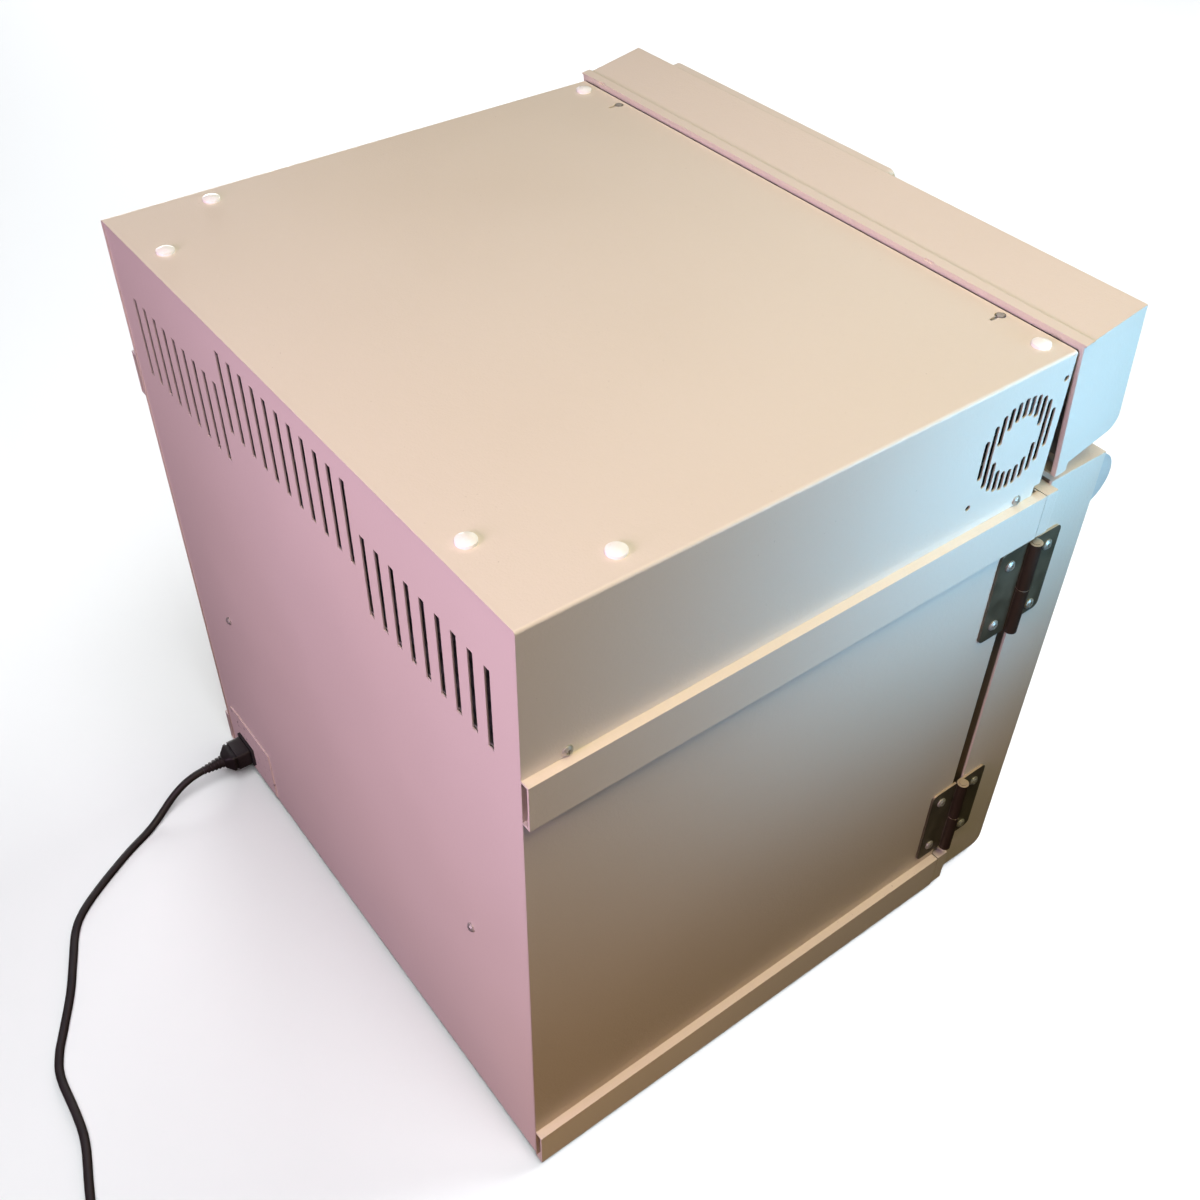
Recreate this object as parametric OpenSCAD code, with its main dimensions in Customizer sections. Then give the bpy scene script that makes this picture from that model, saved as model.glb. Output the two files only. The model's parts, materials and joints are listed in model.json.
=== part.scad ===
// Bench laboratory incubator with a side-hinged door, millimetres, +Z up, front towards -Y.
// Depths are measured forward from the back edge of the hood, heights from the base plate.

/* [Body] */
// Width across the hood and the side panels
body_w = 520; // [500:5:580]
// Depth from the back edge to the front face of the body
body_d = 428; // [420:2:480]
// Thickness of the painted steel sheet
sheet_t = 1.2; // [1:0.1:1.6]
// Height of the rubber feet under the base
foot_h = 5; // [4:0.5:12]
// Diameter of a rubber foot
foot_dia = 26; // [18:1:36]
// Distance of the feet from the body edges
foot_inset = 42; // [34:1:60]
// How far the back panel sits inside the rear rim
back_inset = 1; // [0.6:0.1:2]

/* [Side rails] */
// Height of a rail
rail_h = 37.5; // [30:0.5:40]
// How far a rail stands out from the side
rail_out = 7; // [5:0.5:9]
// Thickness of the rail sheet
rail_t = 1.5; // [1:0.1:2]
// Height of the lower edge of the upper rails
upper_rail_z = 408.5; // [405:0.5:420]

/* [Hood] */
// Height of the hood above the upper rails
hood_h = 112; // [104:1:140]
// How far the hood stops short of the front face of the body
hood_short = 2; // [1:0.5:6]
// Outer bend radius of the hood edges
hood_bend = 2.2; // [1.8:0.1:4]
// Depth of the notch in the lower front corners
notch_d = 6; // [3:0.5:9]
// Height of the notch in the lower front corners
notch_h = 8; // [4:0.5:12]
// Diameter of the white hole plugs
plug_dia = 12.5; // [11:0.5:16]
// Height of a plug
plug_h = 3.5; // [2.5:0.5:5]
// Head diameter of the pan-head screws
screw_head = 7.5; // [6:0.5:8]
// Shank diameter of the pan-head screws
screw_dia = 4; // [3:0.5:5]
// Head height of the pan-head screws
screw_head_h = 2.2; // [1.5:0.1:3]

/* [Back louvres] */
// Distance between slot centres
slot_pitch = 16.4; // [14:0.1:17]
// Width of a slot
slot_w = 5.5; // [3:0.5:8]
// Distance of the raised slots below the hood top
slot_margin = 18; // [12:0.5:30]
// Number of lower slots in each outer group
slots_outer = 9; // [5:1:9]
// Number of raised slots in the middle group
slots_middle = 11; // [5:2:11]
// How far the outer slots reach below the hood
slot_below = 2.5; // [0:0.5:8]
// How far the middle group is raised
slot_rise = 32; // [10:1:40]

/* [Fan grille] */
// Distance of the grille centre behind the front edge of the hood
grille_inset = 40.5; // [40:0.5:60]
// Height of the grille centre above the middle of the hood side
grille_raise = 2; // [0:0.5:4]
// Distance between the slot columns
grille_pitch = 6.3; // [5:0.1:8]
// Width of a grille slot
grille_slot = 4; // [2:0.1:4.4]
// Outer radius of the slotted ring
grille_r = 35; // [30:0.5:38]
// Radius of the blank centre
grille_blank_r = 20; // [14:0.5:24]
// Distance between the fan mounting holes
fan_hole_pitch = 71.5; // [71.5:0.5:74]

/* [Chamber] */
// Width of the insulated space on each side of the chamber
wall_side = 60; // [54:1:80]
// Height of the insulated space above the chamber
wall_top = 58; // [44:1:90]
// Depth of the insulated space behind the chamber
wall_rear = 86.5; // [60:0.5:120]
// Height of the chamber floor
chamber_z = 70; // [60:1:76]
// Thickness of the stainless liner
liner_t = 1; // [0.8:0.1:1.5]
// Height of the lower shelf above the chamber floor
shelf_first = 70; // [50:1:90]
// Distance between the shelves
shelf_step = 110; // [80:1:130]
// Distance between the slots of a shelf
shelf_pitch = 20; // [16:1:30]
// Width of a shelf slot
shelf_slot = 9; // [6:1:12]
// Height of the lips at the front and back of a shelf
shelf_lip = 8; // [5:1:12]

/* [Console] */
// Height of the console above the hood top at its rear collar
collar_rise = 5; // [3:0.5:8]
// Depth of the collar strip
collar_d = 8; // [6:0.5:12]
// How far the collar stands proud of the console shell
collar_proud = 1.5; // [1:0.1:3]
// Backward tilt of the console
console_tilt = 6; // [4:0.5:7]
// Depth of the console below its top front edge
console_d = 60; // [50:1:70]
// Height of the underside of the console above the lower edge of the hood
console_base = 8; // [6:0.5:12]
// Height by which the top slopes up to the front
console_top_rise = 3.7; // [2:0.1:7]
// Height by which the underside slopes up to the front
console_under_rise = 5; // [3:0.5:9]
// Thickness of the console shell
console_t = 1.5; // [1.2:0.1:2.5]
// Width of the control panel on the front of the console
fascia_w = 256; // [216:2:260]
// Distance of the control panel from the console end opposite the hinges
fascia_end = 42; // [36:1:60]
// Height of the control panel
fascia_h = 72; // [60:1:74]
// Thickness of the control panel
fascia_t = 7; // [5:0.5:9]
// Diameter of a key
key_dia = 12; // [9:0.5:14]
// Travel of a key
key_travel = 1; // [0.6:0.1:1.5]

/* [Door] */
// How far the door reaches above the lower edge of the hood
door_over = 2; // [0:0.5:3]
// Depth of the door skin from its return flange to its face
door_skin_d = 59; // [55:1:66]
// Depth of the inner frame with its side ears
door_frame_d = 11.7; // [9:0.1:13]
// Gap between the body and the closed door
door_gap = 1.3; // [1:0.1:2]
// Radius of the lower front edge of the door
door_edge_r = 10; // [6:0.5:14]
// Half the height of the bull-nose handle
handle_half = 21; // [18:0.5:22]
// How far the handle stands out from the door face
handle_out = 13.5; // [10:0.5:16]
// Width of the door seal
seal_w = 14; // [10:0.5:16]

/* [Hinges] */
// Height of a hinge
hinge_h = 86; // [70:1:96]
// Width of a hinge leaf from the pin axis
hinge_leaf_w = 32; // [29:0.5:36]
// Thickness of a hinge leaf
hinge_t = 2; // [1.5:0.1:2.5]
// Outside diameter of the hinge barrel
barrel_dia = 10; // [9:0.5:12]
// Diameter of the hinge pin
pin_dia = 6; // [4:0.5:6]
// Distance of the pin axis ahead of the front face of the body
hinge_axis_ahead = 7.5; // [7:0.5:9]
// Gap between the upper hinge and the rail above it
upper_hinge_gap = 8.5; // [4:0.5:20]
// Gap between the lower hinge and the rail below it
lower_hinge_gap = 11.5; // [4:0.5:20]
// Distance between the screw rows on the two leaves
hinge_screw_pitch = 40; // [37:1:44]
// Head diameter of the hinge screws
hinge_screw_head = 9; // [7:0.5:9.5]

/* [Power inlet] */
// Distance of the inlet from the side of the body
inlet_edge = 38.5; // [36:0.5:60]
// Height of the inlet above the base plate
inlet_z = 24; // [22:0.5:32]
// Width of the inlet rim
inlet_w = 30; // [27:0.5:34]
// Height of the inlet rim
inlet_h = 22; // [20:0.5:26]
// Diameter of the mains lead
cord_dia = 7; // [6:0.5:8]

/* [Hidden] */
$fn = 48;

// Clearance between pieces that are fastened together
seat = 0.2;
// Clearance between pieces that move past each other
play = 0.4;
// Side faces and main heights
side_x = body_w/2;
inner_x = side_x - sheet_t;
hood_base = upper_rail_z + rail_h;
hood_top = hood_base + hood_h;
hood_d = body_d - hood_short;
slot_z = hood_base - slot_below;
slot_h = hood_top - slot_margin - slot_rise - slot_z;
grille_d = hood_d - grille_inset;
grille_z = hood_base + hood_h/2 + grille_raise;
console_h = hood_h + collar_rise - console_base;
door_h = hood_base + door_over;
upper_hinge_z = upper_rail_z - upper_hinge_gap - hinge_h;
lower_hinge_z = rail_h + lower_hinge_gap;
rail_x = side_x + rail_out;
hinge_axis_out = barrel_dia/2;
hinge_axis_x = side_x + hinge_axis_out;
hinge_axis_d = body_d + hinge_axis_ahead;
back_face_d = back_inset;
panel_inner_d = back_inset + sheet_t;
door_rear_d = body_d + door_gap;
skin_rear_d = door_rear_d + door_frame_d;
door_face_d = skin_rear_d + door_skin_d;
handle_front_d = door_face_d + handle_out;
inlet_plate_t = 1.2;
inlet_rim = 2.3;
inlet_face_d = back_face_d - inlet_plate_t - inlet_rim;
inlet_x = side_x - inlet_edge;
// Sheet of the front frame and the inside of the chamber behind it
frame_t = 1.5;
chamber_w = body_w - 2*wall_side;
chamber_h = hood_base - chamber_z - wall_top;
chamber_d = body_d - frame_t - wall_rear;

// The origin is the middle of the footprint at bench level
shift_x = (hinge_axis_x + barrel_dia/2 - rail_x)/2;
shift_y = (handle_front_d + inlet_face_d)/2;

paint = [0.90, 0.88, 0.85];
steel = [0.72, 0.73, 0.74];
stainless = [0.80, 0.81, 0.82];
dark_steel = [0.28, 0.26, 0.24];
white = [0.97, 0.97, 0.96];
black = [0.08, 0.08, 0.09];

module placed() translate([shift_x, shift_y, foot_h]) children();
module pair() { children(); mirror([1, 0, 0]) children(); }

// Box between two distances across, two depths and two heights
module block(x, d, z) translate([x[0], -d[1], z[0]]) cube([x[1] - x[0], d[1] - d[0], z[1] - z[0]]);
// Box of a given width, depth and height that stands on its middle
module standing(x, d, z, size)
    block([x - size[0]/2, x + size[0]/2], [d - size[1]/2, d + size[1]/2], [z, z + size[2]]);
// Extrusion of a front-view outline between two depths
module deep(d) translate([0, -d[0], 0]) rotate([90, 0, 0]) linear_extrude(d[1] - d[0]) children();
// Extrusion across of an outline drawn as depth against height
module across(x) translate([x[0], 0, 0]) rotate([90, 0, -90]) mirror([0, 0, 1])
    linear_extrude(x[1] - x[0]) children();
// Round bar along each axis, from a starting point
module rod_x(x, d, z, dia) translate([x[0], -d, z]) rotate([0, 90, 0]) cylinder(h = x[1] - x[0], d = dia);
module rod_y(x, d, z, dia) translate([x, -d[0], z]) rotate([90, 0, 0]) cylinder(h = d[1] - d[0], d = dia);
module rod_z(x, d, z, dia) translate([x, -d, z[0]]) cylinder(h = z[1] - z[0], d = dia);
// Rectangle with round corners
module round_rect(lo, hi, r) {
    translate([lo[0] + r, lo[1]]) square([hi[0] - lo[0] - 2*r, hi[1] - lo[1]]);
    translate([lo[0], lo[1] + r]) square([hi[0] - lo[0], hi[1] - lo[1] - 2*r]);
    for (x = [lo[0] + r, hi[0] - r], y = [lo[1] + r, hi[1] - r]) translate([x, y]) circle(r);
}
// Pan-head screw along -Y from its seat, with the head towards +Y
module pan_screw(length) {
    rotate([90, 0, 0]) cylinder(h = length, d = screw_dia);
    rotate([-90, 0, 0]) pan_head(screw_head);
}
module pan_head(dia) difference() {
    union() {
        cylinder(h = screw_head_h*0.4, d = dia);
        translate([0, 0, screw_head_h*0.4]) cylinder(h = screw_head_h*0.6, d1 = dia, d2 = dia*0.6);
    }
    for (a = [0, 90]) rotate([0, 0, a])
        translate([-dia*0.25, -0.5, screw_head_h*0.5]) cube([dia*0.5, 1, screw_head_h]);
}

// Base, feet and side panels
base_t = 1.5;
module base_plate() color(steel) placed() {
    block([-inner_x + seat, inner_x - seat], [panel_inner_d + seat, body_d - frame_t - seat], [0, base_t]);
    pair() block([inner_x - seat - sheet_t, inner_x - seat],
        [panel_inner_d + seat, body_d - frame_t - seat], [base_t, base_lip]);
}
base_lip = 14;
module feet() color(black) placed()
    for (x = [-1, 1], d = [foot_inset, body_d - foot_inset])
        translate([x*(side_x - foot_inset), -d, -foot_h])
            cylinder(h = foot_h, d1 = foot_dia - foot_taper, d2 = foot_dia);
foot_taper = 4;
module side_panels() color(paint) placed() difference() {
    pair() {
        block([inner_x, side_x], [0, body_d], [0, hood_base - seat]);
        block([inner_x - side_flange, inner_x], [panel_inner_d + seat, panel_inner_d + seat + sheet_t],
            [base_lip + play, deck_z - seat]);
    }
    hinge_screw_holes(-1);
}
side_flange = 12;

// Channel rails along both sides
module rail_pair(z) pair() {
    block([rail_x - rail_t, rail_x], [0, body_d], [z, z + rail_h]);
    for (edge = [z, z + rail_h - rail_t])
        block([side_x, rail_x - rail_t], [0, body_d], [edge, edge + rail_t]);
}
module upper_rails() color(paint) placed() rail_pair(upper_rail_z);
module lower_rails() color(paint) placed() rail_pair(0);

// Back panel with two lower slot groups and a raised middle group
slot_count = 2*slots_outer + slots_middle;
back_screw_inset = 72;
back_screw_x = side_x - back_screw_inset;
back_screw_z = 219;
module back_panel() color(paint) placed() difference() {
    block([-inner_x + seat, inner_x - seat], [back_face_d, panel_inner_d],
        [seat, hood_top - sheet_t - seat]);
    for (k = [0 : slot_count - 1]) {
        x = (k - (slot_count - 1)/2)*slot_pitch;
        middle = k >= slots_outer && k < slots_outer + slots_middle;
        z = slot_z + (middle ? slot_rise : 0);
        block([x - slot_w/2, x + slot_w/2], [back_face_d - 1, panel_inner_d + 1], [z, z + slot_h]);
    }
    for (x = [-back_screw_x, back_screw_x])
        rod_y(x, [back_face_d - 1, panel_inner_d + 1], back_screw_z, screw_dia + 2*seat);
    block([inlet_x - inlet_body_w/2 - seat, inlet_x + inlet_body_w/2 + seat],
        [back_face_d - 1, panel_inner_d + 1],
        [inlet_z - inlet_body_h/2 - seat, inlet_z + inlet_body_h/2 + seat]);
}
back_screw_l = 12;
module back_screws() color(stainless) placed() for (x = [-back_screw_x, back_screw_x])
    translate([x, -back_face_d, back_screw_z]) pan_screw(back_screw_l);

// Hood: one folded sheet with the fan grille in its hinge side
module hood_section(grow) difference() {
    union() {
        translate([-side_x, hood_base]) square([body_w, hood_h - hood_bend]);
        translate([-side_x + hood_bend, hood_base]) square([body_w - 2*hood_bend, hood_h]);
        for (x = [-1, 1]) translate([x*(side_x - hood_bend), hood_top - hood_bend]) circle(hood_bend);
    }
    translate([-inner_x, hood_base - grow]) square([2*inner_x, hood_h - sheet_t + grow]);
}
plug_rear_d = 76.5;
plug_back_d = 18;
plug_front_inset = 13.5;
plug_front_d = hood_d - plug_front_inset;
plug_side_inset = 18.5;
plug_back_inset = 71;
plug_side_x = side_x - plug_side_inset;
plug_back_x = side_x - plug_back_inset;
plug_hole = 9;
plug_spots = [[plug_side_x, plug_rear_d], [plug_back_x, plug_back_d], [plug_side_x, plug_front_d]];
keyhole_inset = 57.5;
keyhole_edge = 6.5;
keyhole_x = side_x - keyhole_inset;
keyhole_d = hood_d - keyhole_edge;
keyhole_dia = 7.5;
keyhole_tail = 10;
keyhole_tail_w = 2.4;
side_screw_rise = 4.4;
side_screw_front_inset = 23.5;
side_screw_z = hood_base + side_screw_rise;
side_screw_front_d = hood_d - side_screw_front_inset;
side_screw_back_d = 31;
fan_hole_dia = 4.5;
fan_hole_spots = [[1, 1], [-1, -1]];
module hood_cover() color(paint) placed() difference() {
    deep([0, hood_d]) hood_section(1);
    pair() {
        block([inner_x - 1, side_x + 1], [hood_d - notch_d, hood_d + 1],
            [hood_base - 1, hood_base + notch_h]);
        for (p = plug_spots) rod_z(p[0], p[1], [hood_top - sheet_t - 1, hood_top + 1], plug_hole);
        rod_z(keyhole_x, keyhole_d, [hood_top - sheet_t - 1, hood_top + 1], keyhole_dia);
        block([keyhole_x - keyhole_tail_w/2, keyhole_x + keyhole_tail_w/2],
            [keyhole_d - keyhole_tail, keyhole_d], [hood_top - sheet_t - 1, hood_top + 1]);
        for (d = [side_screw_front_d, side_screw_back_d])
            rod_x([inner_x - 1, side_x + 1], d, side_screw_z, screw_dia + 2*seat);
    }
    fan_grille([-side_x - 1, -inner_x + 1]);
}
// Slot columns of the fan grille, cut through between two distances across
grille_columns = floor(grille_r/grille_pitch - 0.3);
module fan_grille(x) {
    for (k = [-grille_columns : grille_columns]) {
        u = k*grille_pitch;
        outer = sqrt(grille_r*grille_r - u*u);
        split = abs(u) < grille_blank_r - 0.5;
        inner = split ? sqrt(grille_blank_r*grille_blank_r - u*u) : 0;
        if (split) for (s = [-1, 1])
            mid_slot(x, grille_d + u, grille_z + s*(outer + inner)/2, outer - inner);
        else mid_slot(x, grille_d + u, grille_z, 2*outer);
    }
    for (s = fan_hole_spots)
        rod_x(x, grille_d + s[0]*fan_hole_pitch/2, grille_z + s[1]*fan_hole_pitch/2, fan_hole_dia);
}
// Round-ended vertical slot about its middle
module mid_slot(x, d, z, length) across(x)
    round_rect([d - grille_slot/2, z - length/2], [d + grille_slot/2, z + length/2], grille_slot/2 - 0.01);

module hood_plugs() color(white) placed() pair() for (p = plug_spots) {
    rod_z(p[0], p[1], [hood_top - sheet_t - 2, hood_top], plug_hole - 2*seat);
    translate([p[0], -p[1], hood_top]) plug_dome();
}
// Cap with a low dome, a slice of a sphere, on an upright rim
plug_rim = 2;
plug_dome_r = (plug_dia*plug_dia/4 + (plug_h - plug_rim)*(plug_h - plug_rim))/(2*(plug_h - plug_rim));
module plug_dome() rotate_extrude() {
    square([plug_dia/2, plug_rim]);
    intersection() {
        translate([0, plug_h - plug_dome_r]) circle(plug_dome_r, $fn = 96);
        translate([0, plug_rim]) square([plug_dia/2, plug_h - plug_rim]);
    }
}

// Screws that hold the hood: two through the top, two through each side
module hood_screws() color(stainless) placed() pair() {
    translate([keyhole_x, -keyhole_d, hood_top - sheet_t]) {
        translate([0, 0, -bulkhead_t - 6]) cylinder(h = bulkhead_t + 6, d = screw_dia - 1);
        cylinder(h = sheet_t + 0.4, d = keyhole_dia - 2);
    }
    for (d = [side_screw_front_d, side_screw_back_d]) {
        translate([side_x, -d, side_screw_z]) rotate([0, 90, 0]) pan_head(screw_head);
        rod_x([side_x - side_screw_l, side_x], d, side_screw_z, screw_dia);
    }
}
side_screw_l = 8;

// Deck between the chamber and the electronics
deck_z = hood_base - 1.5;
deck_lip = 14;
module deck_plate() color(steel) placed() difference() {
    union() {
        block([-inner_x + seat, inner_x - seat], [panel_inner_d + seat, hood_d - notch_d - seat],
            [deck_z, deck_z + sheet_t]);
        pair() block([inner_x - seat - sheet_t, inner_x - seat],
            [panel_inner_d + seat, hood_d - notch_d - seat], [deck_z + sheet_t, deck_z + deck_lip]);
    }
    pair() for (d = [side_screw_front_d, side_screw_back_d])
        rod_x([inner_x - 5, side_x], d, side_screw_z, screw_dia + 2*seat);
}

// Upright sheet that closes the front of the hood and carries the console
bulkhead_t = 1.5;
bulkhead_top_d = 24;
bulkhead_face_d = hood_d - 1.2;
bulkhead_base = hood_base + notch_h + seat;
cable_hole = 30;
module front_bulkhead() color(steel) placed() difference() {
    union() {
        block([-inner_x + seat, inner_x - seat], [bulkhead_face_d - bulkhead_t, bulkhead_face_d],
            [bulkhead_base, hood_top - sheet_t - seat]);
        block([-inner_x + seat, inner_x - seat], [bulkhead_face_d - bulkhead_top_d, bulkhead_face_d],
            [hood_top - sheet_t - seat - bulkhead_t, hood_top - sheet_t - seat]);
        block([-inner_x + seat + 12, inner_x - seat - 12], [bulkhead_face_d - bulkhead_t, bulkhead_face_d],
            [deck_z + sheet_t + seat, bulkhead_base]);
        block([-inner_x + seat + 12, inner_x - seat - 12],
            [bulkhead_face_d - bulkhead_top_d, bulkhead_face_d - bulkhead_t],
            [deck_z + sheet_t + seat, deck_z + sheet_t + seat + bulkhead_t]);
    }
    pair() {
        rod_z(keyhole_x, keyhole_d, [hood_top - 10, hood_top], screw_dia - 1 + 2*seat);
        rod_z(plug_side_x, plug_front_d, [hood_top - 10, hood_top], plug_hole);
    }
    rod_y(fascia_x, [bulkhead_face_d - 5, hood_d], grille_z, cable_hole);
    block([-side_x, fan_face_x + fan_t + 1], [bulkhead_face_d - bulkhead_top_d - 1, hood_d],
        [grille_z - fan_w/2 - 1, grille_z + fan_w/2 + 1]);
}

// Front face of the body around the chamber mouth
module front_frame() color(paint) placed() difference() {
    block([-inner_x + seat, inner_x - seat], [body_d - frame_t, body_d], [0, hood_base - seat]);
    block([-chamber_w/2, chamber_w/2], [body_d - frame_t - 1, body_d + 1],
        [chamber_z, chamber_z + chamber_h]);
    for (z = catch_z) rod_y(catch_x, [body_d - frame_t - 1, body_d + 1], z, catch_dia + 2*seat);
}
// Magnets that hold the free edge of the door
catch_dia = 18;
catch_l = 8;
catch_x = (chamber_w/2 + side_x)/2 + 2;
catch_low = 110;
catch_below_hood = 96;
catch_z = [catch_low, hood_base - catch_below_hood];
module catch_magnets() color(steel) placed() for (z = catch_z)
    rod_y(catch_x, [body_d - catch_l, body_d + 0.2], z, catch_dia);

// Stainless chamber with a flange round its mouth
liner_rear_d = body_d - frame_t - chamber_d;
liner_flange = 12;
module chamber_liner() color(stainless) placed() difference() {
    union() {
        block([-chamber_w/2 - liner_t, chamber_w/2 + liner_t],
            [liner_rear_d - liner_t, body_d - frame_t - seat],
            [chamber_z - liner_t, chamber_z + chamber_h + liner_t]);
        block([-chamber_w/2 - liner_flange, chamber_w/2 + liner_flange],
            [body_d - frame_t - seat - liner_t, body_d - frame_t - seat],
            [chamber_z - liner_flange, chamber_z + chamber_h + liner_flange]);
    }
    block([-chamber_w/2, chamber_w/2], [liner_rear_d, body_d], [chamber_z, chamber_z + chamber_h]);
    rod_y(probe_x, [liner_rear_d - liner_t - 1, liner_rear_d + 1], probe_z, probe_dia + 2*seat);
}

// Insulation fills the space between the liner and the casing
wool_gap = 0.6;
wool_inset = 14;
module insulation() color([0.93, 0.86, 0.55]) placed() difference() {
    block([-inner_x + wool_inset, inner_x - wool_inset],
        [panel_inner_d + wool_inset, body_d - frame_t - seat - liner_t - wool_gap],
        [chamber_z - wool_floor, deck_z - wool_gap]);
    block([-chamber_w/2 - liner_t - wool_gap, chamber_w/2 + liner_t + wool_gap],
        [liner_rear_d - liner_t - wool_gap, body_d],
        [chamber_z - liner_t - heater_t - 2*wool_gap, chamber_z + chamber_h + liner_t + wool_gap]);
    rod_y(probe_x, [0, liner_rear_d], probe_z, probe_dia + 2*wool_gap);
    for (z = catch_z) rod_y(catch_x, [body_d - catch_l - wool_gap, body_d], z, catch_dia + 2*wool_gap);
}
wool_floor = 40;

// Flat heater under the chamber floor
heater_t = 2;
heater_margin = 30;
module floor_heater() color([0.75, 0.45, 0.2]) placed()
    block([-chamber_w/2 + heater_margin, chamber_w/2 - heater_margin],
        [liner_rear_d + heater_margin, body_d - heater_margin],
        [chamber_z - liner_t - heater_t, chamber_z - liner_t]);

// Runners on the chamber walls and the slotted shelves on them
runner_w = 12;
runner_h = 14;
runner_t = 1.2;
runner_margin = 12;
function shelf_level(k) = chamber_z + shelf_first + k*shelf_step;
module shelf_runners() color(stainless) placed() pair() for (k = [0, 1]) {
    z = shelf_level(k);
    block([chamber_w/2 - runner_w, chamber_w/2],
        [liner_rear_d + runner_margin, body_d - frame_t - runner_margin], [z - runner_t, z]);
    block([chamber_w/2 - runner_t, chamber_w/2],
        [liner_rear_d + runner_margin, body_d - frame_t - runner_margin], [z - runner_h, z - runner_t]);
}
shelf_side_play = 3;
shelf_end_play = 6;
shelf_rows = 3;
shelf_web = 10;
module slotted_shelf(k) color(stainless) placed() difference() {
    z = shelf_level(k);
    x = chamber_w/2 - shelf_side_play;
    d0 = liner_rear_d + runner_margin;
    d1 = body_d - frame_t - shelf_end_play;
    row = (d1 - d0)/shelf_rows;
    columns = floor((2*x - 40)/shelf_pitch);
    union() {
        block([-x, x], [d0, d1], [z, z + sheet_t]);
        for (d = [d0, d1 - sheet_t]) block([-x, x], [d, d + sheet_t], [z + sheet_t, z + shelf_lip]);
    }
    for (i = [0 : columns - 1], r = [0 : shelf_rows - 1])
        translate([(i - (columns - 1)/2)*shelf_pitch, -(d0 + (r + 0.5)*row), z - 1])
            linear_extrude(sheet_t + 2) round_rect([-shelf_slot/2, -row/2 + shelf_web],
                [shelf_slot/2, row/2 - shelf_web], shelf_slot/2 - 0.01);
}
module shelf_lower() slotted_shelf(0);
module shelf_upper() slotted_shelf(1);

// Temperature probe through the back wall of the chamber
probe_x = 120;
probe_drop = 60;
probe_z = chamber_z + chamber_h - probe_drop;
probe_dia = 5;
probe_reach = 45;
probe_tail = 30;
probe_flange = [13, 4];
module temperature_probe() color(stainless) placed() {
    rod_y(probe_x, [liner_rear_d - probe_tail, liner_rear_d + probe_reach], probe_z, probe_dia);
    rod_y(probe_x, [liner_rear_d, liner_rear_d + probe_flange[1]], probe_z, probe_flange[0]);
}

// Mains transformer and controller on the deck
deck_top = deck_z + sheet_t;
transformer_x = 150;
transformer_d = 120;
transformer_foot = [76, 56, 3];
transformer_core = [60, 24, 50];
transformer_coil = [40, 48, 36];
transformer_coil_lift = 7;
module transformer() color([0.35, 0.33, 0.32]) placed() {
    foot_top = deck_top + transformer_foot[2];
    standing(transformer_x, transformer_d, deck_top, transformer_foot);
    standing(transformer_x, transformer_d, foot_top, transformer_core);
    standing(transformer_x, transformer_d, foot_top + transformer_coil_lift, transformer_coil);
}
board_x = 20;
board_d = 150;
board_w = 150;
board_l = 110;
board_t = 1.6;
board_z = deck_top + 8;
post_dia = 7;
post_inset = 6;
relay = [20, 26, 16.4];
relay_step = 34;
chip = [36, 20, 4.4];
capacitor = [18, 24.4];
module controller_board() color([0.1, 0.35, 0.2]) placed() {
    top = board_z + board_t;
    standing(board_x, board_d, board_z, [board_w, board_l, board_t]);
    for (x = [-1, 1], d = [-1, 1])
        rod_z(board_x + x*(board_w/2 - post_inset), board_d + d*(board_l/2 - post_inset),
            [deck_top, board_z], post_dia);
    for (k = [0 : 2]) standing(board_x - board_w/3 + k*relay_step, board_d + board_l/4, top, relay);
    standing(board_x, board_d - board_l/5, top, chip);
    rod_z(board_x + board_w*0.3, board_d - board_l/5, [top, top + capacitor[1]], capacitor[0]);
}

// Cooling fan behind the grille, on a bracket from the deck
fan_w = 80;
fan_t = 25;
fan_bore = 76;
fan_hub = 32;
fan_face_x = -inner_x + 0.3;
fan_blades = 7;
fan_foot_inset = 2;
module fan_bracket() color(steel) placed() {
    x = [fan_face_x + fan_foot_inset, fan_face_x + fan_t - fan_foot_inset];
    d0 = grille_d - 0.4*fan_w;
    d1 = bulkhead_face_d - bulkhead_top_d - fan_foot_inset;
    block(x, [d0, d1], [deck_top, deck_top + sheet_t]);
    for (d = [d0, d1 - sheet_t])
        block(x, [d, d + sheet_t], [deck_top + sheet_t, grille_z - fan_w/2 - sheet_t]);
    block(x, [d0, d1], [grille_z - fan_w/2 - sheet_t, grille_z - fan_w/2]);
}
module fan_frame() color(black) placed() {
    difference() {
        block([fan_face_x, fan_face_x + fan_t], [grille_d - fan_w/2, grille_d + fan_w/2],
            [grille_z - fan_w/2, grille_z + fan_w/2]);
        rod_x([fan_face_x - 1, fan_face_x + fan_t + 1], grille_d, grille_z, fan_bore);
    }
    intersection() {
        rod_x([fan_face_x, fan_face_x + fan_t], grille_d, grille_z, fan_bore + 1);
        union() {
            rod_x([fan_face_x + fan_t - 4, fan_face_x + fan_t], grille_d, grille_z, fan_hub);
            for (a = [0 : 90 : 270]) translate([fan_face_x + fan_t - 3, -grille_d, grille_z])
                rotate([a + 45, 0, 0]) translate([0, -2, 0]) cube([3, 4, fan_bore/2 + 1]);
            rod_x([fan_face_x + 8, fan_face_x + fan_t - 3], grille_d, grille_z, fan_pin);
        }
    }
}
fan_pin = 6;
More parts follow.
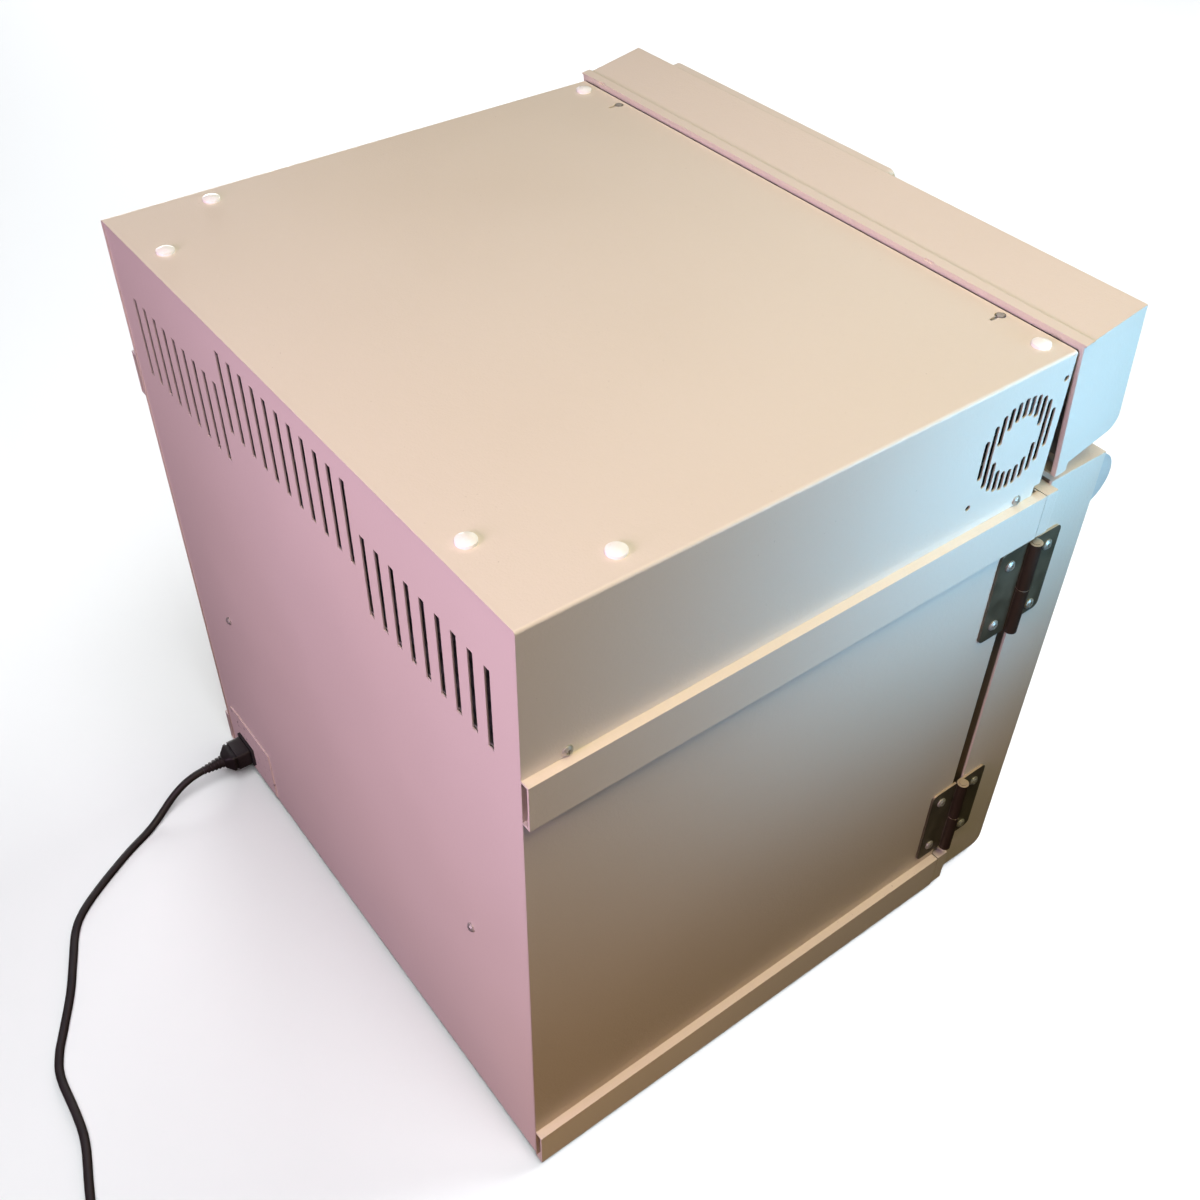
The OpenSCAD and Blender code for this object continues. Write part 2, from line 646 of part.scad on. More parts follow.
module fan_rotor() color([0.15, 0.15, 0.16]) placed() translate([fan_face_x, -grille_d, grille_z])
    rotate([0, 90, 0]) difference() {
        union() {
            translate([0, 0, 2]) cylinder(h = fan_t - 7, d = fan_hub);
            for (k = [0 : fan_blades - 1]) rotate([0, 0, k*360/fan_blades])
                translate([fan_hub/2 - 2, 0, fan_t/2 - 1]) rotate([52, 0, 0])
                    translate([0, -1, -9]) cube([fan_bore/2 - fan_hub/2 - 1, 2, 18]);
        }
        translate([0, 0, 8 - play]) cylinder(h = fan_t, d = fan_pin + 0.12);
        translate([0, 0, fan_t - 6]) cylinder(h = fan_t, d = fan_hub - 6);
    }

// Console outline as depth against height, upright, with its rear top corner at the origin
module console_outline(inset) {
    top = -collar_proud - inset;
    polygon([[0, -console_h + inset], [0, top],
        [collar_d, top], [console_d - inset, top + console_top_rise],
        [console_d - inset, -console_h + console_under_rise + tab_h + nose_r],
        [console_d - nose_r, -console_h + console_under_rise + tab_h + inset],
        [tab_d - inset, -console_h + tab_h + inset], [tab_d - inset, -console_h + inset]]);
    translate([console_d - nose_r, -console_h + console_under_rise + tab_h + nose_r])
        circle(nose_r - inset);
}
tab_d = 11;
tab_h = 7;
nose_r = 12;
collar_top = hood_top + collar_rise;
collar_rear_d = hood_d + 1.2;
console_over = 2.5;
console_x = side_x + console_over;
flange_w = 4;
// Moves upright console geometry to its tilted place
module tilted() translate([0, -collar_rear_d, collar_top]) rotate([-console_tilt, 0, 0]) children();
module console_shell() color(paint) placed() tilted() difference() {
    across([-console_x, console_x]) console_outline(0);
    across([-console_x + console_t, console_x - console_t]) intersection() {
        console_outline(console_t);
        translate([console_t, -console_h - 1]) square([console_d, console_h + 10]);
    }
    block([-console_x + flange_w, console_x - flange_w], [-1, console_t + 1],
        [-console_h + console_t, -collar_proud - flange_w]);
    front_holes();
}
// Collar strip round the top rear edge of the console
collar_x = console_x + collar_proud;
tab_slot_x = [side_x - 24, 128 - side_x];
module console_collar() color(paint) placed() tilted() difference() {
    block([-collar_x, collar_x], [0, collar_d], [-collar_proud, 0]);
    for (x = tab_slot_x) block([x - 4, x + 4], [-1, 1.2], [-collar_proud - 1, 1]);
}
// Two angle brackets from the bulkhead to the floor of the console
bracket_w = 40;
bracket_x = 150;
bracket_t = 2;
bracket_h = 26;
bracket_floor = -console_h + console_t + 0.1;
// Depth and height of a console point, and of the point at a given depth on a level line of the console
function console_point(d, z) = [collar_rear_d + d*cos(console_tilt) - z*sin(console_tilt),
    collar_top + d*sin(console_tilt) + z*cos(console_tilt)];
function level_point(at_d, z) =
    console_point((at_d - collar_rear_d + z*sin(console_tilt))/cos(console_tilt), z);
module console_brackets() color(steel) placed() pair()
    across([bracket_x - bracket_w/2, bracket_x + bracket_w/2]) {
        foot = level_point(bulkhead_face_d, bracket_floor);
        bend = level_point(bulkhead_face_d + bracket_t, bracket_floor + bracket_t);
        reach = tab_d - console_t - seat;
        polygon([foot, console_point(reach, bracket_floor),
            console_point(reach, bracket_floor + bracket_t), bend,
            [bend[0], foot[1] + bracket_h], [foot[0], foot[1] + bracket_h]]);
    }

// Control panel, its window and keys, drawn upright on the front plane of the console
front_d = console_d;
fascia_x = console_x - fascia_end - fascia_w/2;
fascia_drop = 0.5;
fascia_z = -collar_proud + console_top_rise - fascia_drop - fascia_h/2;
fascia_r = 6;
window_w = 84;
window_h = 34;
window_x = fascia_x - 48;
window_recess = 2;
key_row_x = fascia_x + 20;
key_step = 22;
key_count = 4;
key_z = fascia_z;
key_stem = 6;
key_head_t = 3;
function key_x(k) = key_row_x + k*key_step;
module front_holes() {
    for (k = [0 : key_count - 1])
        rod_y(key_x(k), [front_d - 5, front_d + 1], key_z, key_stem + 2*play);
    block([rocker_x - rocker_w/2 - 1, rocker_x + rocker_w/2 + 1], [front_d - 5, front_d + 1],
        [rocker_z - rocker_h/2 - 1, rocker_z + rocker_h/2 + 1]);
}
module fascia() color([0.86, 0.86, 0.84]) placed() tilted() difference() {
    deep([front_d, front_d + fascia_t])
        round_rect([fascia_x - fascia_w/2, fascia_z - fascia_h/2],
            [fascia_x + fascia_w/2, fascia_z + fascia_h/2], fascia_r);
    block([window_x - window_w/2 - seat, window_x + window_w/2 + seat],
        [front_d + fascia_t - window_recess, front_d + fascia_t + 1],
        [key_z - window_h/2 - seat, key_z + window_h/2 + seat]);
    for (k = [0 : key_count - 1]) {
        rod_y(key_x(k), [front_d - 1, front_d + fascia_t + 1], key_z, key_stem + 2*play);
        rod_y(key_x(k), [front_d + fascia_t - key_travel - play - 1.5, front_d + fascia_t + 1], key_z,
            key_dia + 2*play);
    }
}
module display_window() color([0.1, 0.1, 0.12]) placed() tilted()
    block([window_x - window_w/2, window_x + window_w/2],
        [front_d + fascia_t - window_recess, front_d + fascia_t], [key_z - window_h/2, key_z + window_h/2]);
// Key with a stem that runs through the control panel
module key(k) color([0.45, 0.47, 0.5]) placed() tilted() {
    rod_y(key_x(k), [front_d - 3, front_d + fascia_t - 1.5], key_z, key_stem);
    rod_y(key_x(k), [front_d + fascia_t - 1.5, front_d + fascia_t - 1.5 + key_head_t], key_z, key_dia);
}
module key_1() key(0);
module key_2() key(1);
module key_3() key(2);
module key_4() key(3);

// Mains switch on the hinge side of the console front
rocker_end = 62.5;
rocker_x = rocker_end - console_x;
rocker_drop = 40;
rocker_z = -collar_proud + console_top_rise - rocker_drop;
rocker_w = 15;
rocker_h = 26;
rocker_r = 15;
rocker_pin = 3;
bezel_t = 2;
bezel_edge = 3;
module switch_bezel() color(black) placed() tilted() {
    difference() {
        union() {
            block([rocker_x - rocker_w/2 - bezel_edge, rocker_x + rocker_w/2 + bezel_edge],
                [front_d, front_d + bezel_t],
                [rocker_z - rocker_h/2 - bezel_edge, rocker_z + rocker_h/2 + bezel_edge]);
            block([rocker_x - rocker_w/2 - 0.8, rocker_x + rocker_w/2 + 0.8], [front_d - 18, front_d],
                [rocker_z - rocker_h/2 - 0.8, rocker_z + rocker_h/2 + 0.8]);
        }
        block([rocker_x - rocker_w/2 + 1, rocker_x + rocker_w/2 - 1], [front_d - 15, front_d + bezel_t + 1],
            [rocker_z - rocker_h/2 + 1, rocker_z + rocker_h/2 - 1]);
    }
    for (s = [-1, 1]) rod_x([rocker_x + s*(rocker_w/2 - 1.5) - 1.5, rocker_x + s*(rocker_w/2 - 1.5) + 1.5],
        front_d - 6, rocker_z, rocker_pin);
}
// Rocker at rest in its off position, turned about its pin
rocker_turn = 8;
module power_rocker() color([0.1, 0.1, 0.1]) placed() tilted() translate([0, 6 - front_d, rocker_z])
    rotate([rocker_turn, 0, 0]) difference() {
        across([rocker_x - rocker_w/2 + 1 + play, rocker_x + rocker_w/2 - 1 - play]) difference() {
            intersection() {
                circle(rocker_h/2 - 1.5);
                translate([-4, -rocker_h/2]) square([rocker_h, rocker_h]);
            }
            translate([rocker_r + 9, 0]) circle(rocker_r);
        }
        rod_x([rocker_x - rocker_w, rocker_x + rocker_w], 0, 0, rocker_pin + 0.12);
    }

// Hinge parts, drawn with the pin axis at the origin and the leaves along the side of the body
hinge_spots = [upper_hinge_z, lower_hinge_z];
knuckle_h = hinge_h/2;
leaf_r = 5;
leaf_short = 5;
barrel_bore = pin_dia + 0.1;
module hinge_place(z) translate([-hinge_axis_x, -hinge_axis_d, z]) children();
// Flat leaf reaching forward (dir 1) or back (dir -1) from the axis, lying on the side of the body
leaf_edge = sqrt(pow(barrel_dia/2 + play, 2) - pow(barrel_dia/2 - hinge_t, 2));
module leaf(dir, z0, z1) difference() {
    x = hinge_axis_out - hinge_t;
    across([x, x + hinge_t]) {
        lo = dir > 0 ? leaf_edge : -hinge_leaf_w;
        hi = dir > 0 ? hinge_leaf_w : -leaf_edge;
        round_rect([lo, z0], [hi, z1], leaf_r);
        translate([dir > 0 ? lo : hi - leaf_r, z0]) square([leaf_r, z1 - z0]);
    }
    for (z = [hinge_screw_edge, hinge_h - hinge_screw_edge])
        rod_x([x - 1, x + hinge_t + 1], dir*hinge_screw_pitch/2, z, screw_dia + 2*seat);
}
hinge_screw_edge = 14;
// Rolled knuckle with the web that joins it to its leaf
module knuckle(dir, z0, z1) difference() {
    union() {
        translate([0, 0, z0]) cylinder(h = z1 - z0, d = barrel_dia);
        across([hinge_axis_out - hinge_t, hinge_axis_out])
            translate([dir > 0 ? 0 : -leaf_edge - 1, z0]) square([leaf_edge + 1, z1 - z0]);
    }
    translate([0, 0, z0 - 1]) cylinder(h = z1 - z0 + 2, d = barrel_bore);
}
module hinge_body_leaves() color(dark_steel) placed() for (z = hinge_spots) hinge_place(z) {
    leaf(-1, 0, hinge_h);
    knuckle(-1, 0, knuckle_h - play/2);
}
module hinge_door_leaves() color(dark_steel) placed() for (z = hinge_spots) hinge_place(z) {
    leaf(1, leaf_short, hinge_h);
    knuckle(1, knuckle_h + play/2, hinge_h);
}
module hinge_pins() color(dark_steel) placed() for (z = hinge_spots) hinge_place(z)
    cylinder(h = hinge_h + 0.3, d = pin_dia);
// Holes for those screws in the sheet behind the leaves
module hinge_screw_holes(dir) for (z = hinge_spots, s = [hinge_screw_edge, hinge_h - hinge_screw_edge])
    rod_x([-side_x - 1, -side_x + hinge_screw_l], hinge_axis_d + dir*hinge_screw_pitch/2, z + s,
        screw_dia + 2*seat);
module hinge_screws(dir) placed() for (z = hinge_spots, s = [hinge_screw_edge, hinge_h - hinge_screw_edge])
    hinge_place(z) translate([hinge_axis_out - hinge_t, -dir*hinge_screw_pitch/2, s]) {
        rotate([0, -90, 0]) pan_head(hinge_screw_head);
        rotate([0, 90, 0]) cylinder(h = hinge_screw_l, d = screw_dia);
    }
hinge_screw_l = 10;
module hinge_body_screws() color(stainless) hinge_screws(-1);
module hinge_door_screws() color(stainless) hinge_screws(1);

// Door: folded skin, inner frame with ears in line with the rails, insulation, seal and handle
door_lift = 1;
module door_side_outline(r, inset) {
    difference() {
        translate([skin_rear_d + inset, door_lift + inset])
            square([door_skin_d - 2*inset, door_h - door_lift - 2*inset]);
        translate([door_face_d - r, door_lift]) square(r);
    }
    translate([door_face_d - r, door_lift + r]) circle(r - inset);
}
return_w = 14;
module door_skin() color(paint) placed() difference() {
    across([-side_x, side_x]) door_side_outline(door_edge_r, 0);
    across([-side_x + sheet_t, side_x - sheet_t]) door_side_outline(door_edge_r, sheet_t);
    block([-side_x + return_w, side_x - return_w], [skin_rear_d - 1, skin_rear_d + sheet_t + 1],
        [door_lift + return_w, door_h - return_w]);
    hinge_screw_holes(1);
}
inner_frame_inset = 12;
ear_short = 0.5;
ear_x = rail_x - ear_short;
ear_in = 30;
module door_inner_frame() color(paint) placed() difference() {
    union() {
        block([-side_x + inner_frame_inset, side_x - inner_frame_inset],
            [skin_rear_d - sheet_t, skin_rear_d],
            [door_lift + inner_frame_inset, door_h - inner_frame_inset]);
        pair() for (z = [[door_lift, rail_h - ear_short], [upper_rail_z, hood_base - ear_short]]) {
            block([ear_x - rail_t, ear_x], [door_rear_d, skin_rear_d], z);
            block([side_x - ear_in, ear_x], [door_rear_d, skin_rear_d], [z[1] - rail_t, z[1]]);
            block([side_x - ear_in, ear_x], [door_rear_d, skin_rear_d], [z[0], z[0] + rail_t]);
            block([side_x - ear_in, ear_x], [skin_rear_d - sheet_t, skin_rear_d], z);
        }
    }
    block([-seal_x + seal_w + pan_lap, seal_x - seal_w - pan_lap], [skin_rear_d - 5, skin_rear_d + 1],
        [seal_z[0] + seal_w + pan_lap, seal_z[1] - seal_w - pan_lap]);
}
// Raised stainless tray that faces the chamber, inside the seal
pan_lap = 10;
pan_h = 6;
module pan_outline(inset) round_rect([-seal_x + seal_w + inset, seal_z[0] + seal_w + inset],
    [seal_x - seal_w - inset, seal_z[1] - seal_w - inset], 6);
module door_inner_panel() color(stainless) placed() difference() {
    deep([skin_rear_d - sheet_t - pan_h, skin_rear_d - sheet_t]) pan_outline(play);
    deep([skin_rear_d - sheet_t - pan_h + liner_t, skin_rear_d]) pan_outline(play + liner_t);
}
// Seal that closes on the front frame all round the chamber mouth
seal_margin = 4;
seal_x = chamber_w/2 + seal_w + seal_margin;
seal_z = [chamber_z - seal_w - seal_margin, chamber_z + chamber_h + seal_w + seal_margin];
seal_rest_d = body_d + 0.3;
module door_seal() color(black) placed() difference() {
    deep([seal_rest_d, skin_rear_d - sheet_t])
        round_rect([-seal_x, seal_z[0]], [seal_x, seal_z[1]], 12);
    deep([seal_rest_d - 1, skin_rear_d])
        round_rect([-seal_x + seal_w, seal_z[0] + seal_w], [seal_x - seal_w, seal_z[1] - seal_w], 4);
}
// Foam core with a raised plug that reaches through the frame
core_gap = 0.4;
module door_insulation() color([0.85, 0.85, 0.82]) placed() difference() {
    across([-side_x + sheet_t + core_gap, side_x - sheet_t - core_gap])
        door_side_outline(door_edge_r, sheet_t + core_gap);
    hinge_screw_holes(1);
}

// Bull-nose handle along the top of the door and its end caps
handle_drop = 23;
handle_z = door_h - handle_drop;
cap_t = 2.5;
module handle_outline(inset) intersection() {
    translate([door_face_d + handle_out - handle_arc_r, handle_z]) circle(handle_arc_r - inset);
    translate([door_face_d, handle_z - handle_half]) square([handle_out, 2*handle_half]);
}
handle_arc_r = (handle_out*handle_out + handle_half*handle_half)/(2*handle_out);
module door_handle() color(paint) placed() across([-side_x + cap_t, side_x - cap_t]) difference() {
    handle_outline(0);
    handle_outline(2);
}
module handle_end_caps() color([0.75, 0.78, 0.8]) placed() pair()
    across([side_x - cap_t, side_x]) handle_outline(0);

// Inlet on the back, its plate, and the lead plugged into it
inlet_body_w = 26;
inlet_body_h = 18;
inlet_plate_w = 78;
inlet_plate_inset = 14;
inlet_plate_z = [4, 62];
module inlet_plate() color(paint) placed() difference() {
    block([side_x - inlet_plate_inset - inlet_plate_w, side_x - inlet_plate_inset],
        [back_face_d - inlet_plate_t, back_face_d], inlet_plate_z);
    block([inlet_x - inlet_body_w/2 - seat, inlet_x + inlet_body_w/2 + seat], [-3, 3],
        [inlet_z - inlet_body_h/2 - seat, inlet_z + inlet_body_h/2 + seat]);
}
module power_inlet() color(black) placed() difference() {
    union() {
        deep([inlet_face_d, back_face_d - inlet_plate_t])
            round_rect([inlet_x - inlet_w/2, inlet_z - inlet_h/2],
                [inlet_x + inlet_w/2, inlet_z + inlet_h/2], 2);
        block([inlet_x - inlet_body_w/2, inlet_x + inlet_body_w/2],
            [back_face_d - inlet_plate_t, panel_inner_d + 9],
            [inlet_z - inlet_body_h/2, inlet_z + inlet_body_h/2]);
    }
}
connector_l = 24;
connector_w = 25;
connector_h = 19;
neck_l = 20;
relief_dia = 10;
module mains_connector() color(black) placed() translate([inlet_x, -inlet_face_d, inlet_z])
    rotate([-90, 0, 0]) {
        linear_extrude(connector_l*0.75) polygon([[-connector_w/2, connector_h/2],
            [connector_w/2, connector_h/2], [connector_w/2, -connector_h*0.2],
            [connector_w*0.3, -connector_h/2], [-connector_w*0.3, -connector_h/2],
            [-connector_w/2, -connector_h*0.2]]);
        translate([0, 0, connector_l*0.75])
            cylinder(h = connector_l*0.25, d1 = connector_h, d2 = relief_dia + 4);
        translate([0, 0, connector_l]) cylinder(h = neck_l, d1 = relief_dia + 1, d2 = cord_dia + 1);
        for (k = [1 : 4]) translate([0, 0, connector_l + k*neck_l/5])
            cylinder(h = 2, d = relief_dia + 1.6 - 0.5*k);
    }

// Lead on the bench from the connector to the coil, in the part's own frame
route = [[223, 302, 29], [223, 309, 28.3], [223, 317, 26.2], [222.5, 325, 23], [221.5, 333, 18.8],
    [219.5, 341, 14.4], [216.5, 349, 10.3], [213, 357, 7], [209, 366, 4.6], [204, 377, 3.6],
    [197, 392, 3.5], [182, 418, 3.5], [167, 441, 3.5], [155, 455, 3.5], [141, 465, 3.5],
    [117, 476, 3.5], [87, 490, 3.5], [56, 508, 3.5], [40, 517, 3.5], [20, 523.5, 3.5],
    [-16, 525, 3.5], [-43, 528, 3.5], [-79, 539, 3.5], [-105, 546, 3.5], [-130, 548.5, 3.5]];
coil_centre = [-130, 597.5];
coil_turn_r = [31.5, 49];
coil_layers = 2;
// End of the coil to the plug
tail = [[-130, 548.5, 10.5], [-140, 548.5, 10.8], [-150, 548.5, 12.2], [-160, 548.5, 14.8],
    [-170, 548.5, 17.4], [-178, 548.5, 18.5]];
plug_at = [-178, 548.5];
tube_sides = 8;
function unit(v) = v/norm(v);
function route_dir(p, i) = unit(p[min(i + 1, len(p) - 1)] - p[max(i - 1, 0)]);
function ring(p, i) = let(t = route_dir(p, i), side = unit(cross(t, [0, 0, 1])), up = cross(side, t))
    [for (k = [0 : tube_sides - 1]) let(a = k*360/tube_sides) p[i] + cord_dia/2*(cos(a)*side + sin(a)*up)];
module tube(p) {
    n = len(p);
    m = tube_sides;
    polyhedron(points = [for (i = [0 : n - 1]) each ring(p, i)],
        faces = concat([[for (k = [0 : m - 1]) k]], [[for (k = [m - 1 : -1 : 0]) (n - 1)*m + k]],
            [for (i = [0 : n - 2], k = [0 : m - 1])
                [i*m + k, (i + 1)*m + k, (i + 1)*m + (k + 1)%m, i*m + (k + 1)%m]]));
}
module mains_cord() color(black) {
    tube(route);
    tube(tail);
}
module cord_coil() color(black) translate(coil_centre) rotate_extrude($fn = 64)
    round_rect([coil_turn_r[0] - cord_dia/2, 0], [coil_turn_r[1] + cord_dia/2, coil_layers*cord_dia], 3);
plug_body_l = 36;
plug_body_dia = 37;
plug_pin_l = 19;
plug_pin_dia = 4.8;
plug_pin_gap = 19;
plug_tail_l = 24;
module mains_plug() color(black) translate([plug_at[0], plug_at[1], plug_body_dia/2]) rotate([0, -90, 0]) {
    cylinder(h = plug_tail_l, d1 = cord_dia + 2, d2 = 14);
    translate([0, 0, plug_tail_l]) cylinder(h = 8, d1 = 20, d2 = plug_body_dia);
    translate([0, 0, plug_tail_l + 8]) cylinder(h = plug_body_l - 8, d = plug_body_dia);
    for (s = [-1, 1]) translate([0, s*plug_pin_gap/2, plug_tail_l + plug_body_l])
        cylinder(h = plug_pin_l, d = plug_pin_dia);
}

base_plate();
feet();
side_panels();
upper_rails();
lower_rails();
back_panel();
back_screws();
hood_cover();
hood_plugs();
hood_screws();
deck_plate();
front_bulkhead();
front_frame();
chamber_liner();
insulation();
floor_heater();
shelf_runners();
shelf_lower();
shelf_upper();
temperature_probe();
transformer();
controller_board();
fan_bracket();
fan_frame();
fan_rotor();
console_shell();
console_collar();
console_brackets();
fascia();
display_window();
key_1();
key_2();
key_3();
key_4();
switch_bezel();
power_rocker();
hinge_body_leaves();
hinge_pins();
hinge_body_screws();
catch_magnets();
door_skin();
door_inner_frame();
door_inner_panel();
door_insulation();
door_seal();
door_handle();
handle_end_caps();
hinge_door_leaves();
hinge_door_screws();
inlet_plate();
power_inlet();
mains_connector();
mains_cord();
cord_coil();
mains_plug();
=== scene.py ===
"""Bench laboratory incubator on a pale floor, seen from behind, above and its hinge side."""

import json
import math

import bmesh
import bpy
from mathutils import Matrix, Vector


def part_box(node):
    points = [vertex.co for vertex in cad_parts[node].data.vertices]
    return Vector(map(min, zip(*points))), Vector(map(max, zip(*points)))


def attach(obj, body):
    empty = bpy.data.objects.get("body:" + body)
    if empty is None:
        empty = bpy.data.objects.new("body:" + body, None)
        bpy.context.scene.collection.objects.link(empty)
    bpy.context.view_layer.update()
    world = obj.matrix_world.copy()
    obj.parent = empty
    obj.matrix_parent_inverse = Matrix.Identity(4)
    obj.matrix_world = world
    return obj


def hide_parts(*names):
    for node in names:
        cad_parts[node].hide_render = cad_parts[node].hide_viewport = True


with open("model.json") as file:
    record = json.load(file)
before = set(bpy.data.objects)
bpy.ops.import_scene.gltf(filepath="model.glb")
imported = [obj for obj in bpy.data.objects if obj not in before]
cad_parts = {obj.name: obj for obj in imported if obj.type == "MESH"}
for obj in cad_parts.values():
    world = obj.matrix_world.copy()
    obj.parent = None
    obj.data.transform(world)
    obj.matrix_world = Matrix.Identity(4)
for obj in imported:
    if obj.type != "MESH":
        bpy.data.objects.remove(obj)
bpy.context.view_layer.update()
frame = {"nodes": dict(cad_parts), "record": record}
cad_nodes = frame["nodes"]
scene = bpy.context.scene

MM = 0.001
X_AXIS = Vector((1, 0, 0))
Y_AXIS = Vector((0, 1, 0))
Z_AXIS = Vector((0, 0, 1))
SHARP_ANGLE = math.radians(35)


# Camera behind, above and to the hinge side
def add_camera():
    eye = Vector((-0.654609, 0.509005, 1.021477))
    right = Vector((-0.59943695, -0.80035851, 0.01007902))
    down = Vector((-0.54857436, 0.40162571, -0.73332323))
    ahead = Vector((0.58287349, -0.44511014, -0.67980545))
    data = bpy.data.cameras.new("camera")
    data.sensor_width = 36.0
    data.lens = 40.593
    data.shift_x = 0.0038
    data.shift_y = -0.0018
    data.clip_end = 50.0
    camera = bpy.data.objects.new("camera", data)
    scene.collection.objects.link(camera)
    turn = Matrix((right, -down, -ahead)).transposed().to_4x4()
    camera.matrix_world = Matrix.Translation(eye) @ turn
    scene.camera = camera


add_camera()


# Mesh building
def new_object(name, data, body):
    """Scene object that moves with a body."""
    piece = bpy.data.objects.new(name, data)
    scene.collection.objects.link(piece)
    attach(piece, body)
    return piece


def mesh_piece(name, points, faces, material):
    """Smooth-shaded piece of the root body, with its faces turned outwards."""
    mesh = bpy.data.meshes.new(name)
    mesh.from_pydata([tuple(p) for p in points], [], faces)
    work = bmesh.new()
    work.from_mesh(mesh)
    bmesh.ops.remove_doubles(work, verts=work.verts, dist=1e-7)
    bmesh.ops.recalc_face_normals(work, faces=work.faces)
    work.to_mesh(mesh)
    work.free()
    for face in mesh.polygons:
        face.use_smooth = True
    mesh.materials.append(material)
    return new_object(name, mesh, "root")


def loft(name, rings, material):
    """Closed skin through rings of points that all have the same count."""
    count = len(rings[0])
    points = [p for ring in rings for p in ring]
    faces = []
    for row in range(len(rings) - 1):
        for k in range(count):
            near = row * count + k
            side = row * count + (k + 1) % count
            faces.append((near, side, side + count, near + count))
    faces.append(tuple(range(count - 1, -1, -1)))
    last = (len(rings) - 1) * count
    faces.append(tuple(range(last, last + count)))
    return mesh_piece(name, points, faces, material)


def superellipse(half_w, half_h, power, count):
    """Outline between an ellipse (power 2) and a rectangle (a high power)."""
    outline = []
    for k in range(count):
        angle = 2 * math.pi * k / count
        c, s = math.cos(angle), math.sin(angle)
        outline.append((
            half_w * math.copysign(abs(c) ** (2 / power), c),
            half_h * math.copysign(abs(s) ** (2 / power), s),
        ))
    return outline


def rings_along(origin, along, across, up, stations, count):
    """Rings for loft(): each station is (distance, half width, half height, power)."""
    rings = []
    for distance, half_w, half_h, power in stations:
        centre = origin + along * distance
        rings.append([
            centre + across * u + up * v for u, v in superellipse(half_w, half_h, power, count)
        ])
    return rings


def sharpen(piece):
    """Flat shading across edges that turn more than the sharp angle."""
    mesh = piece.data
    work = bmesh.new()
    work.from_mesh(mesh)
    for edge in work.edges:
        if len(edge.link_faces) == 2 and edge.calc_face_angle(0) > SHARP_ANGLE:
            edge.smooth = False
    work.to_mesh(mesh)
    work.free()
    return piece


